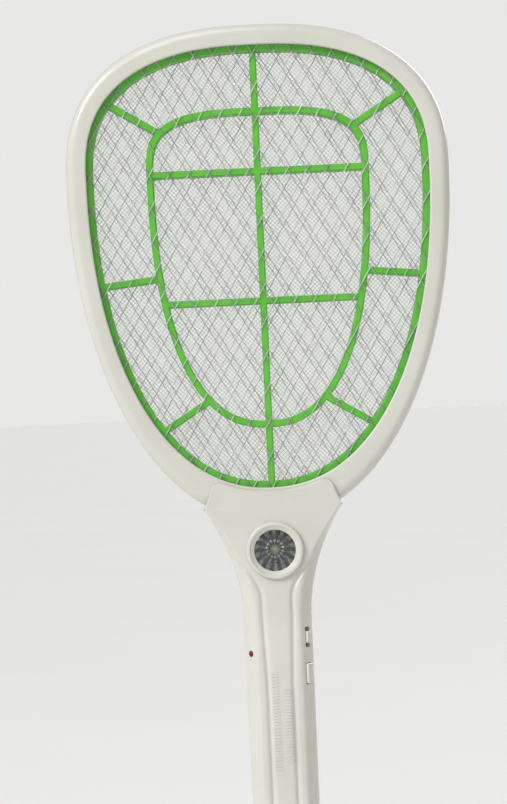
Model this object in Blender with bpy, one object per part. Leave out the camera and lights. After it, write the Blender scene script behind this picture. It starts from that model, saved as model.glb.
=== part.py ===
"""Rechargeable electric fly swatter, in metres, standing with its head up.

+Z runs from the tail of the handle to the top of the head, the front faces -Y and +X is the right-hand
side. The origin is the middle of the hand grip, on the handle's axis.
"""

import math

import bmesh
import bpy
from mathutils import Matrix, Vector

# Driving dimensions ------------------------------------------------------------------------------

GAP = 0.0003  # clearance between pieces that rest on each other
SEAM = 0.00015  # each shell half stops this far from the parting plane

TAIL_Z = -0.085
LAMP_Z = 0.1125
HEAD_Z = 0.322  # the level at which the head is widest

HEAD_WIDTH = 0.2116
HEAD_RISE = 0.081  # from the widest level to the top of the ring
HEAD_DROP = 0.195  # from the widest level to the bottom of the ring, inside the neck
OPENING_WIDTH = 0.1894
OPENING_RISE = 0.0695
OPENING_DROP = 0.175
RING_DEPTH = 0.018
RING_LIP_DEPTH = 0.003  # how far the lip round the opening reaches back from the ring's face

NET_THICKNESS = 0.0008
NET_MARGIN = 0.004  # how far nets and spacers reach in under the lip
SPACER_RIM = 0.0034  # how far the spacer's rim shows inside the opening
SPOKE_WIDTH = 0.0038
LOOP_SHARE = 0.63  # the spacer's middle loop, as a share of the opening's width

GRIP_HALF_WIDTH = 0.0188
TAIL_HALF_WIDTH = 0.0182
NECK_HALF_WIDTH = 0.0410
NECK_FLARE_LENGTH = 0.065
GRIP_DEPTH = 0.013  # from the parting plane to the face, front and back
NECK_DEPTH = 0.0112
SHOULDER = 0.006  # width of the sloping shoulder beside the front face
NECK_SHOULDER = 0.0025  # the same where the neck meets the ring
WALL = 0.002
PLATE_HALF_WIDTH = 0.0345
PLATE_CORNER = 0.006

LAMP_BEZEL_RADIUS = 0.0157
LAMP_LENS_RADIUS = 0.0120
LAMP_DEPTH = 0.0115
LED_RADIUS = 0.0025

SWITCH_Z = 0.0640
SWITCH_TRAVEL = 0.002  # each way from the middle position
KNOB_LENGTH = 0.0064
KNOB_WIDTH = 0.0032
BUTTON_Z = 0.0440
BUTTON_LENGTH = 0.0110
BUTTON_WIDTH = 0.0046
BUTTON_TRAVEL = 0.0012
BUTTON_PROUD = 0.0017
CHARGE_Z = 0.0560
CHARGE_LENS_RADIUS = 0.0015

PLUG_TRAVEL = 0.019
PIN_SPACING = 0.0127
PIN_WIDTH = 0.00635
PIN_THICKNESS = 0.0015
PIN_LENGTH = 0.022
PIN_Y = 0.0050
SLIDER_LENGTH = 0.012
SLIDER_NECK = 0.0050
CARRIAGE_HEIGHT = 0.0090
CARRIAGE_HALF_WIDTH = 0.0092
CARRIAGE_HALF_DEPTH = 0.0050
CONTACT_X = 0.0112
CONTACT_HALF_THICKNESS = 0.0004

BATTERY_SIZE = (0.0230, 0.0140, 0.0440)
BOARD_BOTTOM_Z = 0.0120
BOARD_TOP_Z = 0.0920
BOARD_HALF_WIDTH = 0.0124
BOARD_THICKNESS = 0.0016
BOARD_Y = 0.0030  # the board's front face
BOARD_POST_RADIUS = 0.0015
BOARD_POST_X = 0.0095
TRANSFORMER_HALF = 0.0065  # half the side of its square core
TRANSFORMER_DEPTH = 0.0060
TRANSFORMER_LEG = 0.0022  # half the middle leg's width
DIODE_RADIUS = 0.0012
RESISTOR_RADIUS = 0.0011
PART_PITCH = 0.0050  # from one diode or resistor to the next
LAMP_BOARD_RADIUS = 0.0090
LAMP_BOARD_THICKNESS = 0.0012

FLANGE = 0.0010  # thickness of the flange that keeps a cap in behind the wall
FLANGE_REACH = 0.0010  # how far it reaches out beyond the cap, on each side
SWITCH_BOARD_DEPTH = 0.0100  # from the shoulder's surface to the switch board
SWITCH_BOARD_THICKNESS = 0.0010
PLUNGER_RADIUS = 0.0014

NECK_SCREW_X = 0.0170
GRIP_SCREW_Z = 0.0055
COUNTERBORE_Y = 0.0040
SCREW_RADIUS = 0.0012
SCREW_HEAD_RADIUS = 0.0026
BOSS_RADIUS = 0.0038
LEAD_RADIUS = 0.0007

# Values worked out from them ---------------------------------------------------------------------

FACE_Y = RING_DEPTH / 2
LIP_Y = FACE_Y - RING_LIP_DEPTH
NET_Y = LIP_Y - GAP - NET_THICKNESS / 2  # the middle of the front or rear net
SPACER_DEPTH = NET_Y - NET_THICKNESS - 2 * GAP
OPENING_BOTTOM_Z = HEAD_Z - OPENING_DROP
RING_BOTTOM_Z = HEAD_Z - HEAD_DROP
FLARE_Z = LAMP_Z - 0.0375  # where the neck starts to widen
NECK_TOP_Z = RING_BOTTOM_Z + 0.0085  # the shells' side walls end here, where the ring comes out
TAIL_INNER_Z = TAIL_Z + WALL
CARRIAGE_TOP_Y = GRIP_DEPTH - WALL - 0.0015
OUTLINE_POINTS = 60
LOOP_POINTS = 36
CARRIAGE_Z = TAIL_Z + GAP + PIN_LENGTH + CARRIAGE_HEIGHT / 2
FLANGE_TOP = -(WALL + 0.0011)
TAIL_SCREW_Z = GRIP_SCREW_Z - BATTERY_SIZE[2] - 2 * BOSS_RADIUS - 2 * GAP
SCREW_PLACES = (
    (-NECK_SCREW_X, RING_BOTTOM_Z - 0.0055),
    (NECK_SCREW_X, RING_BOTTOM_Z - 0.0055),
    (0.0, GRIP_SCREW_Z),
    (0.0, TAIL_SCREW_Z),
)


# Shapes ------------------------------------------------------------------------------------------


def clear_scene():
    for obj in list(bpy.data.objects):
        bpy.data.objects.remove(obj, do_unlink=True)


def make_material(name, colour, roughness, metallic=0.0, alpha=1.0):
    material = bpy.data.materials.new(name)
    material.use_nodes = True
    shader = material.node_tree.nodes["Principled BSDF"]
    shader.inputs["Base Color"].default_value = (*colour, 1.0)
    shader.inputs["Roughness"].default_value = roughness
    shader.inputs["Metallic"].default_value = metallic
    shader.inputs["Alpha"].default_value = alpha
    return material


def face_outwards(shape):
    """Turns the faces of one closed shape outwards. Its volume shows it when a tiny one came out inverted."""
    bmesh.ops.recalc_face_normals(shape, faces=shape.faces)
    if shape.calc_volume(signed=True) < 0:
        bmesh.ops.reverse_faces(shape, faces=shape.faces)


def new_object(name, bm, origin):
    """A named object from a bmesh in world coordinates, with its origin moved to a given point."""
    bmesh.ops.translate(bm, verts=bm.verts, vec=-Vector(origin))
    mesh = bpy.data.meshes.new(name)
    bm.to_mesh(mesh)
    bm.free()
    mesh.shade_smooth()
    mesh.set_sharp_from_angle(angle=math.radians(35))
    obj = bpy.data.objects.new(name, mesh)
    obj.location = origin
    bpy.context.scene.collection.objects.link(obj)
    return obj


def add_object(name, shape, material, origin=(0, 0, 0)):
    face_outwards(shape)
    obj = new_object(name, shape, origin)
    obj.data.materials.append(material)
    return obj


def together(shapes):
    """One bmesh that holds several shapes. The Boolean treats what overlaps in it as one solid."""
    whole = bmesh.new()
    for shape in shapes:
        face_outwards(shape)
        mesh = bpy.data.meshes.new("shape")
        shape.to_mesh(mesh)
        shape.free()
        whole.from_mesh(mesh)
        bpy.data.meshes.remove(mesh)
    return whole


def combine(obj, bm, operation):
    """Applies one Boolean with a throw-away tool object."""
    tool = new_object("tool", bm, obj.location)
    modifier = obj.modifiers.new("combine", "BOOLEAN")
    modifier.operation = operation
    modifier.solver = "EXACT"
    modifier.use_self = True
    modifier.object = tool
    bpy.context.view_layer.update()
    graph = bpy.context.evaluated_depsgraph_get()
    result = bpy.data.meshes.new_from_object(obj.evaluated_get(graph))
    obj.modifiers.clear()
    obj.data = result
    bpy.data.objects.remove(tool, do_unlink=True)
    result.set_sharp_from_angle(angle=math.radians(35))


def cut(obj, *tools):
    combine(obj, together(tools), "DIFFERENCE")


def join(obj, *tools):
    combine(obj, together(tools), "UNION")


def box(low, high, bevel=0.0):
    bm = bmesh.new()
    bmesh.ops.create_cube(bm, size=1.0)
    size = [b - a for a, b in zip(low, high)]
    centre = [(a + b) / 2 for a, b in zip(low, high)]
    bmesh.ops.scale(bm, verts=bm.verts, vec=size)
    bmesh.ops.translate(bm, verts=bm.verts, vec=centre)
    if bevel:
        bmesh.ops.bevel(bm, geom=bm.edges[:], offset=bevel, segments=1, affect="EDGES")
    return bm


def centred_box(size, centre, bevel=0.0):
    low = [c - s / 2 for c, s in zip(centre, size)]
    high = [c + s / 2 for c, s in zip(centre, size)]
    return box(low, high, bevel)


def loft(sections, closed=False):
    """Joins equal rings of points into one skin. Open lofts get a cap at each end."""
    bm = bmesh.new()
    rings = [[bm.verts.new(point) for point in section] for section in sections]
    pairs = list(zip(rings, rings[1:]))
    if closed:
        pairs.append((rings[-1], rings[0]))
    for one, two in pairs:
        for i in range(len(one)):
            j = (i + 1) % len(one)
            bm.faces.new((one[i], one[j], two[j], two[i]))
    if not closed:
        bm.faces.new(rings[0])
        bm.faces.new(rings[-1])
    return bm


def plate(outline, y_low, y_high):
    """A flat outline in X and Z, extruded along Y."""
    return loft([[(x, y, z) for x, z in outline] for y in (y_low, y_high)])


def band(outer, inner, y_low, y_high):
    """The flat ring between two outlines with the same number of points."""
    corners = ((outer, y_low), (inner, y_low), (inner, y_high), (outer, y_high))
    return loft([[(x, y, z) for x, z in outline] for outline, y in corners], closed=True)


def turned(profile, centre, axis, segments=28):
    """A solid turned about an axis. The profile lists (radius, distance along the axis)."""
    bm = bmesh.new()
    verts = [bm.verts.new((radius, 0, height)) for radius, height in profile]
    edges = [bm.edges.new(pair) for pair in zip(verts, verts[1:])]
    if profile[0][0] > 0:
        edges.append(bm.edges.new((verts[-1], verts[0])))
    bmesh.ops.spin(
        bm, geom=verts + edges, cent=(0, 0, 0), axis=(0, 0, 1), angle=math.tau, steps=segments
    )
    bmesh.ops.remove_doubles(bm, verts=bm.verts, dist=1e-6)
    turn = Vector((0, 0, 1)).rotation_difference(Vector(axis)).to_matrix().to_4x4()
    bm.transform(Matrix.Translation(centre) @ turn)
    return bm


def rod(radius, start, end, segments=20):
    start, end = Vector(start), Vector(end)
    length = (end - start).length
    profile = [(0, 0), (radius, 0), (radius, length), (0, length)]
    return turned(profile, start, end - start, segments)


def wire(name, points, radius, material, per_stretch=3):
    """A soft lead along a smooth curve through a few points."""
    route = [Vector(point) for point in points]
    ends = [2 * route[0] - route[1], *route, 2 * route[-1] - route[-2]]
    smooth = []
    for a, b, c, d in zip(ends, ends[1:], ends[2:], ends[3:]):
        for step in range(per_stretch):
            t = step / per_stretch
            linear, square, cube = c - a, 2 * a - 5 * b + 4 * c - d, 3 * b - a - 3 * c + d
            smooth.append((2 * b + linear * t + square * t**2 + cube * t**3) / 2)
    smooth.append(route[-1])
    curve = bpy.data.curves.new(name, "CURVE")
    curve.dimensions = "3D"
    curve.bevel_depth = radius
    curve.bevel_resolution = 2
    curve.use_fill_caps = True
    spline = curve.splines.new("POLY")
    spline.points.add(len(smooth) - 1)
    for point, place in zip(spline.points, smooth):
        point.co = (*place, 1.0)
    curve.materials.append(material)
    bpy.context.scene.collection.objects.link(bpy.data.objects.new(name, curve))


# Outlines ----------------------------------------------------------------------------------------


def egg_point(turn, half_width, rise, drop, rise_power, drop_power):
    """One point of an egg made of two superellipse halves. turn runs from 0 to 1, from the right, upwards."""
    angle = math.tau * turn
    upper = math.sin(angle) >= 0
    power = rise_power if upper else drop_power
    across = math.copysign(abs(math.cos(angle)) ** (2 / power), math.cos(angle))
    along = math.copysign(abs(math.sin(angle)) ** (2 / power), math.sin(angle))
    return across * half_width, HEAD_Z + along * (rise if upper else drop)


def head_outline(out=0.0):
    return [
        egg_point(i / OUTLINE_POINTS, HEAD_WIDTH / 2 + out, HEAD_RISE + out, HEAD_DROP + out, 2.45, 2.1)
        for i in range(OUTLINE_POINTS)
    ]


def opening_point(turn, out=0.0):
    return egg_point(turn, OPENING_WIDTH / 2 + out, OPENING_RISE + out, OPENING_DROP + out, 2.5, 2.2)


def opening_outline(out=0.0):
    return [opening_point(i / OUTLINE_POINTS, out) for i in range(OUTLINE_POINTS)]


def opening_bottom(x):
    """How high the lower edge of the opening is at a distance x from the axis."""
    return HEAD_Z - OPENING_DROP * (1 - abs(2 * x / OPENING_WIDTH) ** 2.2) ** (1 / 2.2)


def smooth_step(value, start, end):
    t = min(max((value - start) / (end - start), 0), 1)
    return t * t * (3 - 2 * t)


def handle_half_width(z):
    """The grip tapers slightly to the tail, and the neck flares as a parabola."""
    along = min(max((z - TAIL_Z) / (FLARE_Z - TAIL_Z), 0), 1)
    grip = TAIL_HALF_WIDTH + (GRIP_HALF_WIDTH - TAIL_HALF_WIDTH) * along
    flare = max((z - FLARE_Z) / NECK_FLARE_LENGTH, 0)
    return grip + (NECK_HALF_WIDTH - GRIP_HALF_WIDTH) * flare**2


def handle_depth(z):
    """The neck is thinner than the grip, so that the lamp's bezel sits on a flat face."""
    neck = smooth_step(z, FLARE_Z, LAMP_Z - LAMP_BEZEL_RADIUS)
    return GRIP_DEPTH + (NECK_DEPTH - GRIP_DEPTH) * neck


def shoulder_points(z, inset=0.0):
    """Right half of a shell's cross-section, as (x, distance from the parting plane)."""
    width, depth = handle_half_width(z) - inset, handle_depth(z) - inset
    neck = smooth_step(z, LAMP_Z - LAMP_BEZEL_RADIUS, NECK_TOP_Z)
    shoulder = SHOULDER + (NECK_SHOULDER - SHOULDER) * neck
    return [
        (width, 0.33 * depth),
        (width - 0.15 * shoulder, 0.47 * depth),
        (width - 0.85 * shoulder, 0.88 * depth),
        (width - 1.15 * shoulder, 0.955 * depth),
        (0.5 * (width - 1.15 * shoulder), 0.99 * depth),
    ]


def handle_section(z, side, inset=0.0, seam=SEAM):
    """One cross-section of a shell half. side is -1 for the front and 1 for the back."""
    width, depth = handle_half_width(z) - inset, handle_depth(z) - inset
    right = [(width, seam), *shoulder_points(z, inset)]
    left = [(-x, y) for x, y in reversed(right)]
    return [(x, side * y, z) for x, y in [*right, (0, depth), *left]]


def shoulder_frame(z, side_x):
    """A frame on the front shoulder: Z out of the surface, Y up the handle, X across the slope."""
    (x0, y0), (x1, y1) = shoulder_points(z)[1:3]
    slope = Vector((x1 - x0, -(y1 - y0), 0)).normalized()
    centre = Vector(((x0 + x1) / 2, -(y0 + y1) / 2, z))
    out = Vector((-slope.y, slope.x, 0))
    if out.x < 0:
        out = -out
    across = Vector((0, 0, 1)).cross(out)
    frame = Matrix((across, (0, 0, 1), out)).transposed().to_4x4()
    frame.translation = centre
    if side_x < 0:
        frame = Matrix.Scale(-1, 4, (1, 0, 0)) @ frame @ Matrix.Scale(-1, 4, (1, 0, 0))
    return frame


def placed(bm, frame):
    bm.transform(frame)
    return bm


# The head ----------------------------------------------------------------------------------------


def blend_outlines(outer, inner, t):
    return [((1 - t) * a + t * c, (1 - t) * b + t * d) for (a, b), (c, d) in zip(outer, inner)]


def make_ring(name, side, material):
    """Half of the head frame: a channel open towards the parting plane, with a lip round the opening."""
    outer, inner = head_outline(), opening_outline()
    profile = [
        (0.00, SEAM),
        (0.00, 0.40 * FACE_Y),
        (0.07, 0.68 * FACE_Y),
        (0.26, 0.93 * FACE_Y),
        (0.48, FACE_Y),
        (0.88, FACE_Y),
        (1.00, 0.92 * FACE_Y),
        (1.00, LIP_Y),
        (0.70, LIP_Y),
        (0.62, 0.78 * FACE_Y),
        (0.36, 0.74 * FACE_Y),
        (0.20, 0.42 * FACE_Y),
        (0.20, SEAM),
    ]
    sections = [
        [(x, side * depth, z) for x, z in blend_outlines(outer, inner, t)] for t, depth in profile
    ]
    ring = add_object(name, loft(sections, closed=True), material)
    low, high = sorted((side * SEAM / 2, side * (LIP_Y - 0.001)))
    passage = box((-0.009, low - 0.001, RING_BOTTOM_Z - 0.002), (0.009, high, RING_BOTTOM_Z + 0.008))
    cut(ring, passage)


def make_nets(material):
    outline = opening_outline(NET_MARGIN)
    for name, y in (("front_net", -NET_Y), ("middle_net", 0.0), ("rear_net", NET_Y)):
        add_object(name, plate(outline, y - NET_THICKNESS / 2, y + NET_THICKNESS / 2), material)


def strip(line, width, y_low, y_high):
    """A flat bar of even width between two (x, z) points."""
    start, end = Vector(line[0]), Vector(line[1])
    side = (end - start).orthogonal().normalized() * width / 2
    return plate([start + side, end + side, end - side, start - side], y_low, y_high)


def loop_point(turn, out=0.0):
    """A point of the shield-shaped loop that the spokes hold in the middle of a spacer grid."""
    half_width = LOOP_SHARE * OPENING_WIDTH / 2 + out
    return egg_point(turn, half_width, 0.48 * OPENING_RISE + out, 0.80 * OPENING_DROP + out, 3.2, 2.4)


def make_spacer(name, side, material):
    """The moulded grid that keeps two nets apart: a rim, eight spokes, a loop and cross ribs."""
    centre = side * (NET_THICKNESS / 2 + GAP + SPACER_DEPTH / 2)
    y_low, y_high = centre - SPACER_DEPTH / 2, centre + SPACER_DEPTH / 2
    rim = band(opening_outline(NET_MARGIN), opening_outline(-SPACER_RIM), y_low, y_high)
    spacer = add_object(name, rim, material)

    right_spokes = ((0.945, 0.950), (0.828, 0.851), (0.093, 0.089))
    left_spokes = [(0.5 - loop_turn, 0.5 - rim_turn) for loop_turn, rim_turn in right_spokes]
    lines = [
        (loop_point(loop_turn), opening_point(rim_turn, -SPACER_RIM / 2))
        for loop_turn, rim_turn in ((0.75, 0.75), (0.25, 0.25), *right_spokes, *left_spokes)
    ]
    lines += [(loop_point(a), loop_point(b)) for a, b in ((0.25, 0.75), (0.0, 0.5), (0.925, 0.575))]
    half = SPOKE_WIDTH / 2
    turns = [i / LOOP_POINTS for i in range(LOOP_POINTS)]
    loop = band([loop_point(t, half) for t in turns], [loop_point(t, -half) for t in turns], y_low, y_high)
    join(spacer, loop, *[strip(line, SPOKE_WIDTH, y_low, y_high) for line in lines])


# The handle --------------------------------------------------------------------------------------


def plate_outline():
    """The shield that laps over the ring: its top edge follows the opening, with rounded corners."""
    edge_gap = 0.0016
    flat_half = PLATE_HALF_WIDTH - PLATE_CORNER
    side_z = opening_bottom(flat_half) - edge_gap - PLATE_CORNER
    foot_z = NECK_TOP_Z - 0.001
    right = [(handle_half_width(foot_z) - NECK_SHOULDER, foot_z)]
    for i in range(6):
        angle = math.pi / 2 * i / 5
        right.append((flat_half + PLATE_CORNER * math.cos(angle), side_z + PLATE_CORNER * math.sin(angle)))
    top = [flat_half * (1 - i / 6) for i in range(1, 12)]
    middle = [(x, opening_bottom(x) - edge_gap) for x in top]
    return [*right, *middle, *[(-x, z) for x, z in reversed(right)]]


def shell_stations(bottom, top):
    """Heights of the shells' cross-sections: few along the grip, closer where the neck flares."""
    low = [bottom, bottom + 0.001, bottom + 0.003]
    grip = [-0.03, 0.03, FLARE_Z]
    neck = [FLARE_Z + (top - FLARE_Z) * i / 9 for i in range(1, 10)]
    return low + [z for z in grip if z > low[-1]] + neck


def tail_shape(section, z, bottom, reach=0.003, shrink=0.0022):
    """Draws a section in towards the axis, close to the tail, to round the end off."""
    t = min((z - bottom) / reach, 1)
    pull = shrink * (1 - math.sqrt(t * (2 - t)))
    drawn = []
    for x, y, level in section:
        across, deep = min(pull, abs(x)), min(pull, abs(y) / 2)
        drawn.append((x - math.copysign(across, x), y - math.copysign(deep, y), level))
    return drawn


def make_shell(name, side, material):
    """Half of the handle: a bowl-shaped wall, the neck plate, and room for the ring to pass through."""
    outer = [
        tail_shape(handle_section(z, side), z, TAIL_Z) for z in shell_stations(TAIL_Z, NECK_TOP_Z)
    ]
    shell = add_object(name, loft(outer), material)
    cavity = [
        handle_section(z, side, WALL, -0.001)
        for z in shell_stations(TAIL_INNER_Z, NECK_TOP_Z + 0.002)
    ]
    plate_low, plate_high = sorted((side * (FACE_Y - 0.001), side * (NECK_DEPTH + GAP)))
    join(shell, plate(plate_outline(), plate_low, plate_high))
    cut(shell, loft(cavity))
    ring_low, ring_high = sorted((-side * 0.001, side * (FACE_Y + GAP)))
    cut(shell, plate(head_outline(GAP), ring_low, ring_high))
    return shell


def boss(x, z, side):
    """A post from the parting plane into the wall of a shell."""
    return rod(BOSS_RADIUS, (x, side * GAP, z), (x, side * (handle_depth(z) - WALL / 2), z))


def make_front_shell(material):
    shell = make_shell("front_handle_shell", -1, material)
    join(shell, *[boss(x, z, -1) for x, z in SCREW_PLACES])
    cut(shell, *[rod(SCREW_RADIUS + GAP, (x, 0.001, z), (x, -0.0090, z)) for x, z in SCREW_PLACES])
    lamp_hole = LAMP_LENS_RADIUS + 0.0014
    cut(shell, rod(lamp_hole, (0, 0, LAMP_Z), (0, -0.02, LAMP_Z), 40))

    switch, button = shoulder_frame(SWITCH_Z, 1), shoulder_frame(BUTTON_Z, 1)
    slot = (KNOB_WIDTH + 2 * GAP, KNOB_LENGTH + 2 * SWITCH_TRAVEL + 0.0008, 0.02)
    cut(shell, placed(centred_box(slot, (0, 0, 0)), switch))
    hole = (BUTTON_WIDTH + 2 * GAP, BUTTON_LENGTH + 2 * GAP, 0.02)
    cut(shell, placed(centred_box(hole, (0, 0, 0), bevel=0.0008), button))
    lens_hole = rod(CHARGE_LENS_RADIUS + GAP, (0, 0, -0.005), (0, 0, 0.005))
    cut(shell, placed(lens_hole, shoulder_frame(CHARGE_Z, -1)))


def make_rear_shell(material):
    shell = make_shell("rear_handle_shell", 1, material)
    start = BOARD_Y + BOARD_THICKNESS + GAP
    posts = [
        rod(BOARD_POST_RADIUS, (x, start, z), (x, handle_depth(z) - WALL / 2, z), 12)
        for x in (-BOARD_POST_X, BOARD_POST_X)
        for z in (BOARD_BOTTOM_Z + 0.006, BOARD_TOP_Z - 0.004)
    ]
    join(shell, *[boss(x, z, 1) for x, z in SCREW_PLACES], *posts)
    holes = []
    for x, z in SCREW_PLACES:
        profile = [(0, -0.001), (SCREW_RADIUS + GAP, -0.001), (SCREW_RADIUS + GAP, COUNTERBORE_Y)]
        profile += [(SCREW_HEAD_RADIUS + GAP, COUNTERBORE_Y), (SCREW_HEAD_RADIUS + GAP, 0.02), (0, 0.02)]
        holes.append(turned(profile, (x, 0, z), (0, 1, 0)))
    cut(shell, *holes)

    for x in (-PIN_SPACING / 2, PIN_SPACING / 2):
        size = (PIN_THICKNESS + 2 * GAP, PIN_WIDTH + 2 * GAP, 0.01)
        cut(shell, centred_box(size, (x, PIN_Y, TAIL_Z)))
    half = SLIDER_NECK / 2 + GAP
    slot_low, slot_high = CARRIAGE_Z - PLUG_TRAVEL - half, CARRIAGE_Z + half
    cut(shell, box((-half, GRIP_DEPTH - WALL - 0.001, slot_low), (half, 0.02, slot_high)))


# The lamp ----------------------------------------------------------------------------------------


def make_lamp(ivory, chrome, clear, board, glow):
    """Bezel, lens, reflector, lamp LED and its board, all turned about one axis that points forwards."""
    face = handle_depth(LAMP_Z)
    centre, forward = (0, 0, LAMP_Z), (0, -1, 0)
    lens, outer = LAMP_LENS_RADIUS, LAMP_BEZEL_RADIUS
    rim = face + 0.0022
    bezel = [
        (lens - 0.0006, rim - 0.0012),
        (lens + 0.0004, rim),
        (outer - 0.0012, rim),
        (outer, rim - 0.0012),
        (outer, face + GAP + 0.0002),
        (lens + 0.0011, face + GAP + 0.0002),
        (lens + 0.0011, face - 0.0035),
        (lens + 0.0003, face - 0.0035),
        (lens + 0.0003, rim - 0.0018),
        (lens - 0.0006, rim - 0.0018),
    ]
    add_object("lamp_bezel", turned(bezel, centre, forward, 36), ivory)

    lens_back = rim - 0.0018 - GAP - 0.0010
    glass = [(0, lens_back), (lens, lens_back), (lens, lens_back + 0.001), (0, lens_back + 0.001)]
    add_object("lamp_lens", turned(glass, centre, forward, 36), clear)

    top = lens_back - GAP
    bottom = top - LAMP_DEPTH
    hole = LED_RADIUS + GAP
    reflector = [
        (lens, top),
        (lens, top - 0.0010),
        (0.80 * lens, top - 0.55 * LAMP_DEPTH),
        (hole + 0.0016, bottom),
        (hole, bottom),
        (hole, bottom + 0.0010),
        (0.70 * lens, top - 0.52 * LAMP_DEPTH),
        (lens - 0.0010, top - 0.0005),
        (lens - 0.0008, top),
    ]
    add_object("lamp_reflector", turned(reflector, centre, forward, 32), chrome)

    led = [(0, bottom - 0.001), (LED_RADIUS, bottom - 0.001), (LED_RADIUS, bottom + 0.003)]
    led += [(0.75 * LED_RADIUS, bottom + 0.0045), (0, bottom + 0.0052)]
    add_object("lamp_led", turned(led, centre, forward, 20), glow)

    seat = bottom - 0.001 - GAP
    back = seat - LAMP_BOARD_THICKNESS
    disc = [(0, back), (LAMP_BOARD_RADIUS, back), (LAMP_BOARD_RADIUS, seat), (0, seat)]
    add_object("lamp_board", turned(disc, centre, forward, 24), board)
    return seat


# Electronics -------------------------------------------------------------------------------------


def on_board(name, low, high, depth, material, bevel=0.0006):
    """A block that stands on the front of the board. low and high are (x, z)."""
    front = BOARD_Y - GAP
    add_object(name, box((low[0], front - depth, low[1]), (high[0], front, high[1]), bevel), material)


def make_transformer(ferrite, copper):
    """An E-core with two windows, and the winding on its middle leg."""
    front = BOARD_Y - GAP
    half, depth, leg = TRANSFORMER_HALF, TRANSFORMER_DEPTH, TRANSFORMER_LEG
    z = BOARD_TOP_Z - half - 0.0025
    square = box((-half, front - depth, z - half), (half, front, z + half))
    core = add_object("transformer_core", square, ferrite)
    window_width = 0.0028
    window_x = leg + window_width / 2
    for x in (-window_x, window_x):
        cut(core, centred_box((window_width, 0.02, 0.0090), (x, front - depth / 2, z)))
    low, high = (-0.0047, front - depth - 0.0012, z - 0.0041), (0.0047, front - 0.0002, z + 0.0041)
    winding = add_object("transformer_winding", box(low, high, 0.0005), copper)
    cut(winding, centred_box((2 * (leg + GAP), depth + 2 * GAP, 0.02), (0, front - depth / 2, z)))


def make_circuit(board, ferrite, copper, film, can, black, ceramic):
    low = (-BOARD_HALF_WIDTH, BOARD_Y, BOARD_BOTTOM_Z)
    high = (BOARD_HALF_WIDTH, BOARD_Y + BOARD_THICKNESS, BOARD_TOP_Z)
    add_object("main_circuit_board", box(low, high), board)
    make_transformer(ferrite, copper)

    front, foot = BOARD_Y - GAP, BOARD_BOTTOM_Z
    on_board("high_voltage_capacitor", (-0.0110, foot + 0.0040), (0.0020, foot + 0.0120), 0.0065, film)
    on_board("charging_capacitor", (-0.0110, foot + 0.0150), (-0.0010, foot + 0.0215), 0.0055, film)
    can_z = foot + 0.0080
    cylinder = rod(0.0025, (0.0075, front, can_z), (0.0075, front - 0.0080, can_z))
    add_object("smoothing_capacitor", cylinder, can)

    rows = (
        ("rectifier_diode", 4, foot + 0.0280, DIODE_RADIUS, -0.0060, black),
        ("resistor", 2, foot + 0.0490, RESISTOR_RADIUS, -0.0045, ceramic),
    )
    for name, count, first_z, radius, end_x, material in rows:
        for i in range(count):
            y, z = front - DIODE_RADIUS - 0.0001, first_z + PART_PITCH * i
            add_object(f"{name}_{i + 1}", rod(radius, (-0.0105, y, z), (end_x, y, z), 12), material)


def make_battery(case, red, black):
    """The block under the board, with a lead from each end terminal up to the board's foot."""
    width, depth, height = BATTERY_SIZE
    top = GRIP_SCREW_Z - BOSS_RADIUS - GAP
    low, high = (-width / 2, -depth / 2, top - height), (width / 2, depth / 2, top)
    add_object("battery_block", box(low, high, 0.001), case)
    front = BOARD_Y - 0.0035
    ends = (("battery_lead_positive", 0.0085, red), ("battery_lead_negative", -0.0085, black))
    for name, x, material in ends:
        points = [
            (x, 0.0030, top + 0.0010),
            (x * 1.3, 0.0, top + 0.0040),
            (x * 1.3, front, top + 0.0085),
            (x, front, top + 0.0120),
        ]
        wire(name, points, LEAD_RADIUS, material)


# Controls on the right shoulder, and the charge indicator on the left one --------------------------


def make_cap(name, size, frame, material):
    """A cap through the wall, at its shoulder's frame, with a flange behind so that it can't fall out."""
    width, length, proud, bevel = size
    flange_low = FLANGE_TOP - FLANGE
    body = box((-width / 2, -length / 2, flange_low + 0.0001), (width / 2, length / 2, proud), bevel)
    cap = add_object(name, placed(body, frame), material, frame.translation)
    flange_size = (width + 2 * FLANGE_REACH, length + 2 * FLANGE_REACH, FLANGE)
    join(cap, placed(centred_box(flange_size, (0, 0, FLANGE_TOP - FLANGE / 2)), frame))


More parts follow.
